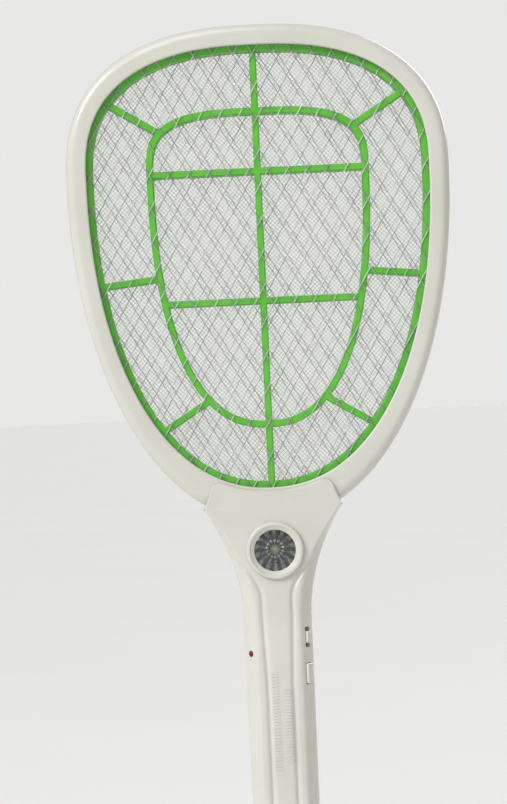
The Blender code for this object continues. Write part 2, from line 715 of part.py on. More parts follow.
def make_controls(ivory, board, black, metal):
    """Slide switch and push button. Local Z points out of the shoulder, so a plunger pushes along -Z."""
    switch, button = shoulder_frame(SWITCH_Z, 1), shoulder_frame(BUTTON_Z, 1)
    cap_foot = FLANGE_TOP - FLANGE - GAP
    floor = GAP - SWITCH_BOARD_DEPTH

    make_cap("mode_knob", (KNOB_WIDTH, KNOB_LENGTH, 0.0016, 0.0004), switch, ivory)
    body_top = floor + 0.0034
    lever = box((-0.0006, -0.0010, body_top + GAP), (0.0006, 0.0010, cap_foot))
    add_object("mode_switch_lever", placed(lever, switch), metal, switch.translation)
    body = box((-0.0018, -0.0042, floor), (0.0018, 0.0042, body_top))
    add_object("mode_switch_body", placed(body, switch), metal)

    make_cap("swat_button", (BUTTON_WIDTH, BUTTON_LENGTH, BUTTON_PROUD, 0.0008), button, ivory)
    body_top = floor + 0.0036
    plunger_foot = body_top - 0.0015
    plunger = rod(PLUNGER_RADIUS, (0, 0, plunger_foot), (0, 0, cap_foot), 16)
    add_object("push_switch_plunger", placed(plunger, button), black, button.translation)
    body = box((-0.003, -0.003, floor), (0.003, 0.003, body_top))
    body = add_object("push_switch_body", placed(body, button), black)
    bore = rod(PLUNGER_RADIUS + GAP, (0, 0, plunger_foot - BUTTON_TRAVEL - GAP), (0, 0, 0.001), 16)
    cut(body, placed(bore, button))

    middle = (SWITCH_Z + BUTTON_Z) / 2
    half_length = (SWITCH_Z - BUTTON_Z) / 2 + 0.006
    low = (-0.0036, -half_length, -SWITCH_BOARD_DEPTH - SWITCH_BOARD_THICKNESS)
    strip_board = box(low, (0.0036, half_length, -SWITCH_BOARD_DEPTH))
    add_object("switch_board", placed(strip_board, shoulder_frame(middle, 1)), board)


def make_charge_indicator(red):
    """A domed lens pushed through the left shoulder from behind."""
    radius, flange = CHARGE_LENS_RADIUS, CHARGE_LENS_RADIUS + 0.0006
    profile = [
        (0, -0.0060),
        (radius, -0.0060),
        (radius, FLANGE_TOP - FLANGE),
        (flange, FLANGE_TOP - FLANGE),
        (flange, FLANGE_TOP),
        (radius, FLANGE_TOP),
        (radius, 0.0002),
        (0.7 * radius, 0.0009),
        (0, 0.0011),
    ]
    lens = turned(profile, (0, 0, 0), (0, 0, 1), 20)
    add_object("charge_indicator", placed(lens, shoulder_frame(CHARGE_Z, -1)), red)


# The retractable plug ----------------------------------------------------------------------------


def make_plug(black, brass, ivory):
    """Carriage with two flat pins, pushed out through the tail by a thumb slider on the back."""
    origin = (0, PIN_Y, CARRIAGE_Z)
    low, high = CARRIAGE_Z - CARRIAGE_HEIGHT / 2, CARRIAGE_Z + CARRIAGE_HEIGHT / 2
    corner = (-CARRIAGE_HALF_WIDTH, PIN_Y - CARRIAGE_HALF_DEPTH, low)
    body = box(corner, (CARRIAGE_HALF_WIDTH, CARRIAGE_TOP_Y, high), 0.0006)
    carriage = add_object("plug_carriage", body, black, origin)
    for x, name in ((-PIN_SPACING / 2, "plug_pin_left"), (PIN_SPACING / 2, "plug_pin_right")):
        foot, top = low - PIN_LENGTH, high + 0.0020
        pin = centred_box((PIN_THICKNESS, PIN_WIDTH, top - foot), (x, PIN_Y, (foot + top) / 2), 0.0003)
        add_object(name, pin, brass, origin)
        pocket = (PIN_THICKNESS + 2 * GAP, PIN_WIDTH + 2 * GAP, 0.03)
        cut(carriage, centred_box(pocket, (x, PIN_Y, CARRIAGE_Z)))

    half, half_neck = SLIDER_LENGTH / 2, SLIDER_NECK / 2
    pad_low = (-half, GRIP_DEPTH + GAP, CARRIAGE_Z - half)
    pad_high = (half, GRIP_DEPTH + 0.0028, CARRIAGE_Z + half)
    slider = add_object("plug_slider", box(pad_low, pad_high, 0.0007), ivory, origin)
    neck_low = (-half_neck, CARRIAGE_TOP_Y + GAP, CARRIAGE_Z - half_neck)
    join(slider, box(neck_low, (half_neck, GRIP_DEPTH + 0.0010, CARRIAGE_Z + half_neck)))


def make_mains_contacts(brass):
    """Springs fixed to the shell, beside the pins' tails when the plug is out."""
    for x, name in ((-CONTACT_X, "mains_contact_left"), (CONTACT_X, "mains_contact_right")):
        low = (x - CONTACT_HALF_THICKNESS, 0.0005, CARRIAGE_Z - PLUG_TRAVEL - 0.0020)
        high = (x + CONTACT_HALF_THICKNESS, 0.0040, CARRIAGE_Z + 0.0020)
        add_object(name, box(low, high), brass)


# Screws and leads --------------------------------------------------------------------------------


def make_screws(metal):
    head = SCREW_HEAD_RADIUS
    profile = [
        (0, 0.0019),
        (0.6 * head, 0.0019),
        (head, 0.0010),
        (head, 0),
        (SCREW_RADIUS, 0),
        (SCREW_RADIUS, -0.0110),
        (0, -0.0122),
    ]
    for i, (x, z) in enumerate(SCREW_PLACES):
        screw = turned(profile, (x, COUNTERBORE_Y + GAP, z), (0, 1, 0), 14)
        add_object(f"handle_screw_{i + 1}", screw, metal)


def make_leads(red, black, blue, lamp_back):
    """Insulated leads from the board to the nets and to the lamp."""
    net_bottom = OPENING_BOTTOM_Z - NET_MARGIN - GAP
    board_front = BOARD_Y - GAP - LEAD_RADIUS
    leads = (
        ("net_lead_front", -0.0050, -NET_Y + 0.0008, black),
        ("net_lead_middle", 0.0, 0.0, red),
        ("net_lead_rear", 0.0050, NET_Y - 0.0008, black),
    )
    behind_lamp = 0.0075
    behind_board = BOARD_Y + BOARD_THICKNESS + GAP + LEAD_RADIUS
    for name, x, y, material in leads:
        points = [
            (x * 0.8, y, net_bottom - LEAD_RADIUS),
            (x, y * 0.7, RING_BOTTOM_Z + 0.002),
            (x * 1.2, behind_lamp, LAMP_Z + 0.010),
            (x * 1.2, behind_lamp, LAMP_Z - 0.012),
            (x * 1.2, behind_board, BOARD_TOP_Z - 0.004),
        ]
        wire(name, points, LEAD_RADIUS, material)
    for name, x, material in (("lamp_lead_positive", 0.0085, red), ("lamp_lead_negative", -0.0085, blue)):
        points = [
            (x * 0.6, -(lamp_back - 0.0022) + LEAD_RADIUS, LAMP_Z - 0.004),
            (x, 0.0046, LAMP_Z - 0.0125),
            (x * 1.05, 0.0030, BOARD_TOP_Z + 0.0045),
            (x * 1.1, board_front, BOARD_TOP_Z - 0.002),
            (x * 1.1, board_front, BOARD_TOP_Z - 0.006),
        ]
        wire(name, points, LEAD_RADIUS, material)


# The whole swatter -------------------------------------------------------------------------------


def build():
    clear_scene()
    ivory = make_material("ivory_abs", (0.74, 0.72, 0.66), 0.28)
    green = make_material("green_pp", (0.10, 0.52, 0.05), 0.35)
    steel = make_material("zinc_plated_wire", (0.52, 0.52, 0.50), 0.38, 1.0)
    screw_steel = make_material("screw_steel", (0.45, 0.45, 0.46), 0.35, 1.0)
    chrome = make_material("vacuum_chrome", (0.80, 0.80, 0.82), 0.08, 1.0)
    clear = make_material("clear_polycarbonate", (0.90, 0.93, 0.95), 0.05, 0.0, 0.3)
    board = make_material("circuit_board", (0.30, 0.18, 0.05), 0.5)
    glow = make_material("led_epoxy", (0.85, 0.85, 0.60), 0.15)
    ferrite = make_material("ferrite", (0.06, 0.06, 0.065), 0.6)
    copper = make_material("varnished_tape", (0.65, 0.50, 0.10), 0.4)
    film = make_material("capacitor_epoxy", (0.45, 0.06, 0.04), 0.4)
    can = make_material("capacitor_can", (0.04, 0.05, 0.09), 0.35)
    black = make_material("black_nylon", (0.02, 0.02, 0.02), 0.45)
    ceramic = make_material("resistor_ceramic", (0.55, 0.45, 0.30), 0.5)
    case = make_material("battery_case", (0.08, 0.09, 0.12), 0.5)
    red = make_material("red_insulation", (0.55, 0.02, 0.02), 0.4)
    blue = make_material("blue_insulation", (0.02, 0.06, 0.40), 0.4)
    brass = make_material("nickel_plated_brass", (0.70, 0.66, 0.58), 0.25, 1.0)
    red_lens = make_material("red_lens", (0.60, 0.02, 0.02), 0.15)

    make_ring("front_ring", -1, ivory)
    make_ring("rear_ring", 1, ivory)
    make_nets(steel)
    make_spacer("front_spacer_grid", -1, green)
    make_spacer("rear_spacer_grid", 1, green)
    make_front_shell(ivory)
    make_rear_shell(ivory)
    lamp_back = make_lamp(ivory, chrome, clear, board, glow)
    make_circuit(board, ferrite, copper, film, can, black, ceramic)
    make_battery(case, red, black)
    make_controls(ivory, board, black, screw_steel)
    make_charge_indicator(red_lens)
    make_plug(black, brass, ivory)
    make_mains_contacts(brass)
    make_screws(screw_steel)
    make_leads(red, black, blue, lamp_back)


build()
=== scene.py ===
"""Rechargeable electric fly swatter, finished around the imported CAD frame.

Metres. +Z runs from the tail of the handle to the top of the head, the front faces -Y and +X is the
right-hand side. The parting plane between the two halves is Y = 0.
"""

import math

import bmesh
import bpy
from mathutils import Matrix, Vector
from mathutils.geometry import intersect_line_line_2d


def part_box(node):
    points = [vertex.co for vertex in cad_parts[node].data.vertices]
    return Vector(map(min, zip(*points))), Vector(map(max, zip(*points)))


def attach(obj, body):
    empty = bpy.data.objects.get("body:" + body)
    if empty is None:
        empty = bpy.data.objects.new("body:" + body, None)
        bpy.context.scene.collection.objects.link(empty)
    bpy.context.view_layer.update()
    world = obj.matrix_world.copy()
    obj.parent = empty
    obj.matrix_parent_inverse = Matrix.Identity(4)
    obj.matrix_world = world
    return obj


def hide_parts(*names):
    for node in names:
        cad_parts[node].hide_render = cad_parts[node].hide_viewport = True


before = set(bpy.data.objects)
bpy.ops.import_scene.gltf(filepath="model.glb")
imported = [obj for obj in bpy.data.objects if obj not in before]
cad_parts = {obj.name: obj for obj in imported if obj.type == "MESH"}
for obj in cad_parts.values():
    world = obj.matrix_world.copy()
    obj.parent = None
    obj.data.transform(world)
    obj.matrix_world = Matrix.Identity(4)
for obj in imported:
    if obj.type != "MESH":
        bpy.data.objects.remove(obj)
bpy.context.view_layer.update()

# The head's frame --------------------------------------------------------------------------------
# Two egg-shaped half rings of glossy ivory ABS. Each is injection moulded as a channel with a lip
# round the opening, and the pair is clipped and screwed face to face, with a fine shadow gap.

RING_LOW, RING_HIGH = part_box("front_ring")
WIDEST_Z = 0.322
FACE = -RING_LOW.y
SEAM = -RING_HIGH.y
LIP = FACE - 0.003
OPENING_HALF = 0.0947
OPENING_RISE = 0.0695
OPENING_DROP = 0.175
RING_POINTS = 216
LEAD_WAY = (0.018, LIP - SEAM, 0.010)  # the gap at the foot of the ring that the net leads pass through


def egg(half_width, rise, drop, rise_power, drop_power, points=RING_POINTS):
    """An outline in X and Z: two superellipse halves that meet at the head's widest level."""
    outline = []
    for number in range(points):
        angle = math.tau * number / points
        upper = math.sin(angle) >= 0
        power = rise_power if upper else drop_power
        across = math.copysign(abs(math.cos(angle)) ** (2 / power), math.cos(angle))
        along = math.copysign(abs(math.sin(angle)) ** (2 / power), math.sin(angle))
        outline.append((across * half_width, WIDEST_Z + along * (rise if upper else drop)))
    return outline


def head_outline(out=0.0):
    return egg(RING_HIGH.x + out, RING_HIGH.z - WIDEST_Z + out, WIDEST_Z - RING_LOW.z + out, 2.45, 2.1)


def opening_outline(out=0.0):
    return egg(OPENING_HALF + out, OPENING_RISE + out, OPENING_DROP + out, 2.5, 2.2)


def select_verts(mesh, wanted):
    """In edit mode: selects these vertices and the edges and faces between them, and nothing else."""
    bpy.ops.mesh.select_all(action="DESELECT")
    for vert in wanted:
        vert.select = True
    mesh.select_flush(True)


def extruded_from(vert):
    """The vertex that an edge extrude has just drawn out of this one."""
    return next(edge.other_vert(vert) for edge in vert.link_edges if edge.other_vert(vert).select)


def loft(name, loops, ends="capped"):
    """A skin through equal loops of points: a circle, extruded once for each further loop.

    ends is capped, open, or joined, which closes the last loop onto the first."""
    bpy.ops.object.select_all(action="DESELECT")
    bpy.ops.mesh.primitive_circle_add(vertices=len(loops[0]))
    piece = bpy.context.object
    piece.name = piece.data.name = name
    bpy.ops.object.mode_set(mode="EDIT")
    mesh = bmesh.from_edit_mesh(piece.data)
    first = current = list(mesh.verts)
    for number, loop in enumerate([*loops, loops[0]] if ends == "joined" else loops):
        if number:
            bpy.ops.mesh.extrude_edges_move()
            current = [extruded_from(vert) for vert in current]
        for vert, place in zip(current, loop):
            vert.co = place
    if ends == "capped":
        bpy.ops.mesh.edge_face_add()
        select_verts(mesh, first)
        bpy.ops.mesh.edge_face_add()
    bpy.ops.mesh.select_all(action="SELECT")
    if ends == "joined":
        bpy.ops.mesh.remove_doubles(threshold=1e-6)
    bpy.ops.mesh.normals_make_consistent(inside=False)
    bpy.ops.object.mode_set(mode="OBJECT")
    return piece


def flat_loop(outline, y):
    return [(x, y, z) for x, z in outline]


def join(pieces):
    """Joins pieces into the first one."""
    bpy.ops.object.select_all(action="DESELECT")
    for piece in pieces:
        piece.select_set(True)
    bpy.context.view_layer.objects.active = pieces[0]
    bpy.ops.object.join()
    return pieces[0]


def carve(piece, tools, operation="DIFFERENCE"):
    """Cuts the tools from a piece, or fuses them with it, by one exact Boolean that is then applied."""
    tool = join(tools) if len(tools) > 1 else tools[0]
    cutter = piece.modifiers.new("carve", "BOOLEAN")
    cutter.show_viewport = False
    cutter.operation = operation
    cutter.solver = "EXACT"
    cutter.use_self = True
    cutter.object = tool
    bpy.ops.object.select_all(action="DESELECT")
    bpy.context.view_layer.objects.active = piece
    bpy.ops.object.modifier_apply(modifier=cutter.name)
    piece.data.validate()
    bpy.data.objects.remove(tool, do_unlink=True)
    return piece


def block(name, size, centre, bevel=0.0, segments=3):
    """A cube of one size with all its edges rounded."""
    bpy.ops.object.select_all(action="DESELECT")
    bpy.ops.mesh.primitive_cube_add(size=1)
    piece = bpy.context.object
    piece.name = piece.data.name = name
    bpy.ops.object.mode_set(mode="EDIT")
    bpy.ops.transform.resize(value=size)
    bpy.ops.transform.translate(value=centre)
    if bevel:
        bpy.ops.mesh.bevel(offset=bevel, segments=segments, affect="EDGES")
    bpy.ops.object.mode_set(mode="OBJECT")
    return piece


def finish(piece, material, slot, body, *nodes, smooth=35):
    """Gives a piece its shading, material and body, and hides the CAD nodes that it stands for. slot is not
    used.
    """
    bpy.ops.object.select_all(action="DESELECT")
    piece.select_set(True)
    bpy.context.view_layer.objects.active = piece
    bpy.ops.object.shade_smooth_by_angle(angle=math.radians(smooth))
    piece.data.materials.clear()
    piece.data.materials.append(material)
    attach(piece, body)
    if nodes:
        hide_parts(*nodes)


def linear(code):
    """An sRGB hex colour as linear RGBA."""
    shares = [int(code[i : i + 2], 16) / 255 for i in (1, 3, 5)]
    return (*[s / 12.92 if s <= 0.04045 else ((s + 0.055) / 1.055) ** 2.4 for s in shares], 1.0)


def add_node(material, kind, inputs=None, **settings):
    """Adds one node to a material, with its settings, and with its sockets set or linked."""
    tree = material.node_tree
    node = tree.nodes.new(kind)
    for setting, value in settings.items():
        setattr(node, setting, value)
    for socket, value in (inputs or {}).items():
        if isinstance(value, bpy.types.NodeSocket):
            tree.links.new(value, node.inputs[socket])
        else:
            node.inputs[socket].default_value = value
    return node


def surface_finish(name, light, dark, patch, roughness, grain, relief, metallic=0.0, ior=1.5):
    """A material in two close tones, in cloudy patches, with a fine grain that also varies its gloss.

    patch and grain are sizes and relief is a height, all in metres."""
    material = bpy.data.materials.new(name)
    material.use_nodes = True
    tree = material.node_tree
    shader = tree.nodes["Principled BSDF"]
    shader.inputs["Metallic"].default_value = metallic
    shader.inputs["IOR"].default_value = ior
    place = add_node(material, "ShaderNodeTexCoord").outputs["Object"]
    clouds = add_node(material, "ShaderNodeTexNoise", {"Vector": place, "Scale": 1 / patch, "Detail": 4.0})
    spread = {"Value": clouds.outputs["Fac"], "From Min": 0.3, "From Max": 0.7}
    share = add_node(material, "ShaderNodeMapRange", spread)
    tones = {0: share.outputs["Result"], 6: linear(light), 7: linear(dark)}
    tone = add_node(material, "ShaderNodeMix", tones, data_type="RGBA")
    tree.links.new(tone.outputs[2], shader.inputs["Base Color"])
    fine = add_node(material, "ShaderNodeTexNoise", {"Vector": place, "Scale": 1 / grain, "Detail": 2.0})
    gloss = {"Value": fine.outputs["Fac"], "From Min": 0.3, "From Max": 0.7}
    gloss |= {"To Min": 0.8 * roughness, "To Max": 1.2 * roughness}
    rough = add_node(material, "ShaderNodeMapRange", gloss)
    tree.links.new(rough.outputs["Result"], shader.inputs["Roughness"])
    bumps = {"Height": fine.outputs["Fac"], "Distance": relief}
    bump = add_node(material, "ShaderNodeBump", bumps)
    tree.links.new(bump.outputs["Normal"], shader.inputs["Normal"])
    return material


# Injection-moulded ABS: a warm off-white, even and glossy, with the faintest orange peel in its highlights.
ivory_abs = surface_finish("moulded_abs_ivory", "#D9D8CF", "#D2D1C7", 0.045, 0.22, 0.003, 0.000008, ior=1.53)

# Right through the wall of the ring, as (share of the way from the rim to the opening, depth).
ARCH_STEPS = 10
arch = [math.pi / 2 * i / ARCH_STEPS for i in range(ARCH_STEPS + 1)]
edge = [math.pi / 2 * i / 4 for i in range(5)]
ring_profile = [
    (0.015, SEAM),
    (0.0, SEAM + 0.0003),
    *[(0.48 * (1 - math.cos(a)), FACE * (0.40 + 0.60 * math.sin(a))) for a in arch],
    (0.60, FACE),
    (0.75, FACE),
    *[(0.90 + 0.10 * math.sin(a), FACE * (0.93 + 0.07 * math.cos(a))) for a in edge],
    (1.00, LIP + 0.0002),
    (0.985, LIP),
    (0.70, LIP),
    (0.62, 0.78 * FACE),
    (0.36, 0.74 * FACE),
    (0.20, 0.42 * FACE),
    (0.20, SEAM),
]
for name, side in (("front_ring", -1), ("rear_ring", 1)):
    loops = []
    for share, depth in ring_profile:
        pairs = zip(head_outline(), opening_outline())
        between = [((1 - share) * a + share * c, (1 - share) * b + share * d) for (a, b), (c, d) in pairs]
        loops.append(flat_loop(between, side * depth))
    ring = loft(f"head_{name}", loops, "joined")
    way_place = (0, side * (LIP + SEAM) / 2, RING_LOW.z + 0.003)
    carve(ring, [block("lead_way", LEAD_WAY, way_place)])
    finish(ring, ivory_abs, "ivory_abs", "housing", name)

# The three nets ----------------------------------------------------------------------------------
# Spot-welded galvanised steel wire, cut to the egg's outline and clamped under the ring's lip. The
# outer two are open diamonds that keep fingers out, and the live one between them is fine.

OUTER_WIRE = 0.00027
OUTER_SPACING = 0.0094
OUTER_LEAN = math.radians(30.5)
FINE_WIRE = 0.00015
FINE_SPACING = 0.0017
FINE_LEAN = math.radians(45)
NET_REACH = 0.0036

# Hot-dip galvanised steel: a light matt grey metal, mottled along each wire.
galvanised = surface_finish(
    "galvanised_steel_wire", "#D2D2CF", "#B0B1AF", 0.012, 0.38, 0.0006, 0.00002, metallic=1.0
)


def wire_ends(outline, offset, lean):
    """Where a line at this distance from the egg's middle, leaning off +Z, enters and leaves the outline."""
    along = Vector((math.sin(lean), math.cos(lean)))
    centre = Vector((0, WIDEST_Z)) + Vector((along.y, -along.x)) * offset
    start, end = centre - along, centre + along
    corners = [Vector(point) for point in outline]
    crossings = []
    for a, b in zip(corners, corners[1:] + corners[:1]):
        crossing = intersect_line_line_2d(start, end, a, b)
        if crossing:
            crossings.append(crossing)
    return sorted(crossings, key=along.dot)


def net(name, y, wire, spacing, lean, shift):
    """Two families of straight wires, one laid on the other and sunk into it a little by the weld."""
    outline = opening_outline(NET_REACH)
    reach = math.ceil(0.2 / spacing)
    bpy.ops.object.select_all(action="DESELECT")
    bpy.ops.mesh.primitive_cylinder_add(vertices=6, radius=wire, depth=wire, location=(0, y, WIDEST_Z))
    piece = bpy.context.object
    piece.name = piece.data.name = name
    bpy.ops.object.transform_apply(location=True, rotation=True, scale=True)
    bpy.ops.object.mode_set(mode="EDIT")
    bpy.ops.mesh.select_all(action="SELECT")
    bpy.ops.mesh.delete(type="VERT")
    for side in (-1, 1):
        for number in range(-reach, reach):
            ends = wire_ends(outline, (number + 0.5) * spacing + shift, side * lean)
            if len(ends) < 2 or (ends[-1] - ends[0]).length < 4 * wire:
                continue
            middle = (ends[0] + ends[-1]) / 2
            bpy.ops.mesh.primitive_cylinder_add(
                vertices=6,
                radius=wire,
                depth=(ends[-1] - ends[0]).length,
                location=(middle.x, y + side * 0.4 * wire, middle.y),
                rotation=(0, side * lean, 0),
            )
    bpy.ops.object.mode_set(mode="OBJECT")
    return piece


front_y = (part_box("front_net")[0].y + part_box("front_net")[1].y) / 2
for name, y, sizes in (
    ("front_net", front_y, (OUTER_WIRE, OUTER_SPACING, OUTER_LEAN, 0.0)),
    ("middle_net", 0.0, (FINE_WIRE, FINE_SPACING, FINE_LEAN, 0.0)),
    ("rear_net", -front_y, (OUTER_WIRE, OUTER_SPACING, OUTER_LEAN, OUTER_SPACING / 3)),
):
    wires = net(f"{name}_wires", y, *sizes)
    finish(wires, galvanised, "net_wire", "housing", name, smooth=65)

# The spacer grids --------------------------------------------------------------------------------
# Two grids of bright green polypropylene that hold the nets apart: a rim, a shield-shaped loop,
# spokes and cross ribs, moulded in one piece with softened edges. One lies each side of the live net.

RIM_SHOWS = 0.0034
RIM_HIDDEN = 0.004  # how far the rim reaches in under the ring's lip
RIB_WIDTH = 0.0038
RIB_EDGE = 0.0006
RIB_STEP = 0.00003  # each rib is this much thinner than the last, so that no two faces share a plane
LOOP_SHARE = 0.63
LOOP_PROFILE = (3.2, 2.4)

# Injection-moulded polypropylene: a waxy bright green with a soft, slightly uneven shine.
green_pp = surface_finish("moulded_pp_green", "#6AC447", "#59B238", 0.03, 0.34, 0.0015, 0.00002, ior=1.49)


def loop_outline(out):
    half, rise, drop = LOOP_SHARE * OPENING_HALF, 0.48 * OPENING_RISE, 0.80 * OPENING_DROP
    return egg(half + out, rise + out, drop + out, *LOOP_PROFILE)


def rim_outline(out):
    return opening_outline(RIM_HIDDEN + out)


def at_turn(outline, turn):
    return Vector(outline[round(turn * len(outline)) % len(outline)])


def band(name, outline, width, low, high, soft):
    """A flat ring of one width inside an outline, with its four edges cut off at 45 degrees."""
    shrink = [(low, soft), (low + soft, 0), (high - soft, 0), (high, soft)]
    loops = [flat_loop(outline(-cut), y) for y, cut in shrink]
    loops += [flat_loop(outline(cut - width), y) for y, cut in reversed(shrink)]
    return loft(name, loops, "joined")


rim_line, loop_line = opening_outline(-RIM_SHOWS / 2), loop_outline(0)
spokes = [(0.75, 0.75), (0.25, 0.25), (0.945, 0.950), (0.828, 0.851), (0.093, 0.089)]
spokes += [(0.5 - a, 0.5 - b) for a, b in spokes[2:]]
lines = [(at_turn(loop_line, a), at_turn(rim_line, b)) for a, b in spokes]
for a, b in ((0.25, 0.75), (0.0, 0.5), (0.925, 0.575)):
    lines.append((at_turn(loop_line, a), at_turn(loop_line, b)))

for name in ("front_spacer_grid", "rear_spacer_grid"):
    low, high = (corner.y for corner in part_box(name))
    parts = [
        band(f"{name}_moulding", rim_outline, RIM_HIDDEN + RIM_SHOWS, low, high, RIB_EDGE),
        band("loop", lambda out: loop_outline(RIB_WIDTH / 2 + out), RIB_WIDTH, low, high, RIB_EDGE),
    ]
    for number, (start, end) in enumerate(lines, 1):
        thickness = high - low - number * RIB_STEP
        rib = block("rib", (RIB_WIDTH, thickness, (end - start).length), (0, 0, 0), RIB_EDGE, 1)
        lean = math.atan2(end.x - start.x, end.y - start.y)
        middle = (start + end) / 2
        place = Matrix.Translation((middle.x, (low + high) / 2, middle.y))
        rib.data.transform(place @ Matrix.Rotation(lean, 4, "Y"))
        parts.append(rib)
    finish(join(parts), green_pp, "green_pp", "housing", name)

# The handle --------------------------------------------------------------------------------------
# Two thin-walled bowls of the same ivory ABS, screwed together round the batteries and the board.
# The front one has a centre panel between two soft grooves, and a shield that laps over the ring.

TAIL_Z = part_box("front_handle_shell")[0].z
NECK_TOP_Z = RING_LOW.z + 0.0085
LAMP_Z = (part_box("lamp_lens")[0].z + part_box("lamp_lens")[1].z) / 2
FLARE_Z = LAMP_Z - 0.0375
BEZEL_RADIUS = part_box("lamp_bezel")[1].x
TAIL_HALF, GRIP_HALF, NECK_HALF = 0.0182, 0.0188, 0.0410
FLARE_LENGTH = 0.065
GRIP_DEPTH, NECK_DEPTH = 0.0130, 0.0112
SHOULDER, NECK_SHOULDER = 0.0060, 0.0014
WALL = 0.002
GAP = 0.0003
CROWN = 0.045  # how far the face falls off from its middle to the shoulder, as a share of its depth
GROOVE_DEPTH = 0.00100
GROOVE_HALF = 0.0013
TAIL_ROUND_LENGTH, TAIL_ROUND_DEPTH = 0.003, 0.0022


def ramp(value, start, end):
    share = min(max((value - start) / (end - start), 0), 1)
    return share * share * (3 - 2 * share)


def handle_half(z):
    along = min(max((z - TAIL_Z) / (FLARE_Z - TAIL_Z), 0), 1)
    flare = max((z - FLARE_Z) / FLARE_LENGTH, 0)
    return TAIL_HALF + (GRIP_HALF - TAIL_HALF) * along + (NECK_HALF - GRIP_HALF) * flare**2


def handle_depth(z):
    return GRIP_DEPTH + (NECK_DEPTH - GRIP_DEPTH) * ramp(z, FLARE_Z, LAMP_Z - BEZEL_RADIUS)


def soften(points, times):
    """Cuts the corners of a chain of points, a quarter from each side, and keeps its ends."""
    for _ in range(times):
        cut = [points[0]]
        for (a, b), (c, d) in zip(points, points[1:]):
            cut += [((3 * a + c) / 4, (3 * b + d) / 4), ((a + 3 * c) / 4, (b + 3 * d) / 4)]
        points = [*cut, points[-1]]
    return points


def groove_x(z):
    """How far the grooves run from the axis: almost straight up the grip, then out round the lamp."""
    widening = 0.0015 * ramp(z, 0.031, 0.086)
    flare = 0.0109 * (max(z - 0.086, 0) / 0.019) ** 2
    return 0.0069 + widening + flare


def front_relief(x, z):
    """Depth of the two grooves beside the centre panel. They fade out on the neck."""
    fade = 1 - ramp(z, 0.104, 0.109)
    return fade * GROOVE_DEPTH * math.exp(-(((abs(x) - groove_x(z)) / GROOVE_HALF) ** 2))


LABEL_Z, LABEL_HALF_LENGTH, LABEL_HALF_WIDTH = 0.044, 0.0240, 0.0068
LABEL_EDGE, LABEL_SINK = 0.0006, 0.0003


def rear_relief(x, z):
    """A shallow blank label field on the back of the grip."""
    across = 1 - ramp(abs(x), LABEL_HALF_WIDTH, LABEL_HALF_WIDTH + LABEL_EDGE)
    along = 1 - ramp(abs(z - LABEL_Z), LABEL_HALF_LENGTH, LABEL_HALF_LENGTH + LABEL_EDGE)
    return LABEL_SINK * across * along


def half_section(z, relief=None, inset=0.0):
    """Right half of a cross-section, from the parting plane round the shoulder to the middle of the face."""
    width, depth = handle_half(z) - inset, handle_depth(z) - inset
    shoulder = SHOULDER + (NECK_SHOULDER - SHOULDER) * ramp(z, LAMP_Z - BEZEL_RADIUS, NECK_TOP_Z)
    face = width - 1.15 * shoulder
    crown = CROWN * (1 - 0.92 * ramp(z, LAMP_Z + 0.004, NECK_TOP_Z - 0.004))
    corner = [
        (width, SEAM if not inset else -0.001),
        (width, 0.33 * depth),
        (width - 0.15 * shoulder, 0.47 * depth),
        (width - 0.85 * shoulder, 0.88 * depth),
        (face, (1 - crown) * depth),
        (0.93 * face, (1 - 0.855 * crown) * depth),
    ]
    if inset:
        return [*corner[:-1], (0.5 * face, 0.99 * depth), (0, depth)]
    steps = 44
    points = soften(corner, 2)
    points += [(0.93 * face * (1 - i / steps), 0.0) for i in range(1, steps + 1)]
    domed = [(x, y or depth * (1 - crown * (x / face) ** 2.17)) for x, y in points]
    return [(x, y - relief(x, z) * ramp(y, 0.45 * depth, 0.8 * depth)) for x, y in domed]


def whole_section(half, z, side):
    mirrored = [(-x, y) for x, y in reversed(half[:-1])]
    return [(x, side * y, z) for x, y in [*half, *mirrored]]


def rounded_tail(section, z):
    """Draws a section in towards the axis close to the tail."""
    t = min((z - TAIL_Z) / TAIL_ROUND_LENGTH, 1)
    pull = TAIL_ROUND_DEPTH * (1 - math.sqrt(t * (2 - t)))
    drawn = []
    for x, y, level in section:
        inward = min(pull, abs(x))
        drawn.append((x - math.copysign(inward, x), y - math.copysign(min(pull, abs(y) / 2), y), level))
    return drawn


def steps_between(low, high, step):
    count = math.ceil((high - low) / step)
    return [low + (high - low) * i / count for i in range(count + 1)]


PLATE_HALF, PLATE_CORNER, PLATE_MARGIN = 0.0345, 0.006, 0.0016


def opening_bottom(x):
    return WIDEST_Z - OPENING_DROP * (1 - (abs(x) / OPENING_HALF) ** 2.2) ** (1 / 2.2)


def shield_outline(inset):
    """The shield's edge, drawn in by inset: up both sides, round the corners and along the opening."""
    lean = math.radians(22.4)
    centre_x = PLATE_HALF - PLATE_CORNER
    corner = PLATE_CORNER - inset
    meets_x = centre_x - PLATE_CORNER * math.sin(lean)
    centre_z = opening_bottom(meets_x) - PLATE_MARGIN - PLATE_CORNER * math.cos(lean)
    foot = NECK_TOP_Z - 0.001
    right = [
        (handle_half(foot) - NECK_SHOULDER - inset, foot),
        (handle_half(NECK_TOP_Z) - 0.0006 - inset, NECK_TOP_Z + 0.0010),
        (PLATE_HALF + 0.0014 - inset, NECK_TOP_Z + 0.0050),
    ]
    for i in range(13):
        angle = (math.pi / 2 + lean) * i / 12
        right.append((centre_x + corner * math.cos(angle), centre_z + corner * math.sin(angle)))
    top = [right[-1][0] * (1 - i / 12) for i in range(1, 24)]
    crest = [(x, opening_bottom(x) - PLATE_MARGIN - inset) for x in top]
    return [*right, *crest, *[(-x, z) for x, z in reversed(right)]]


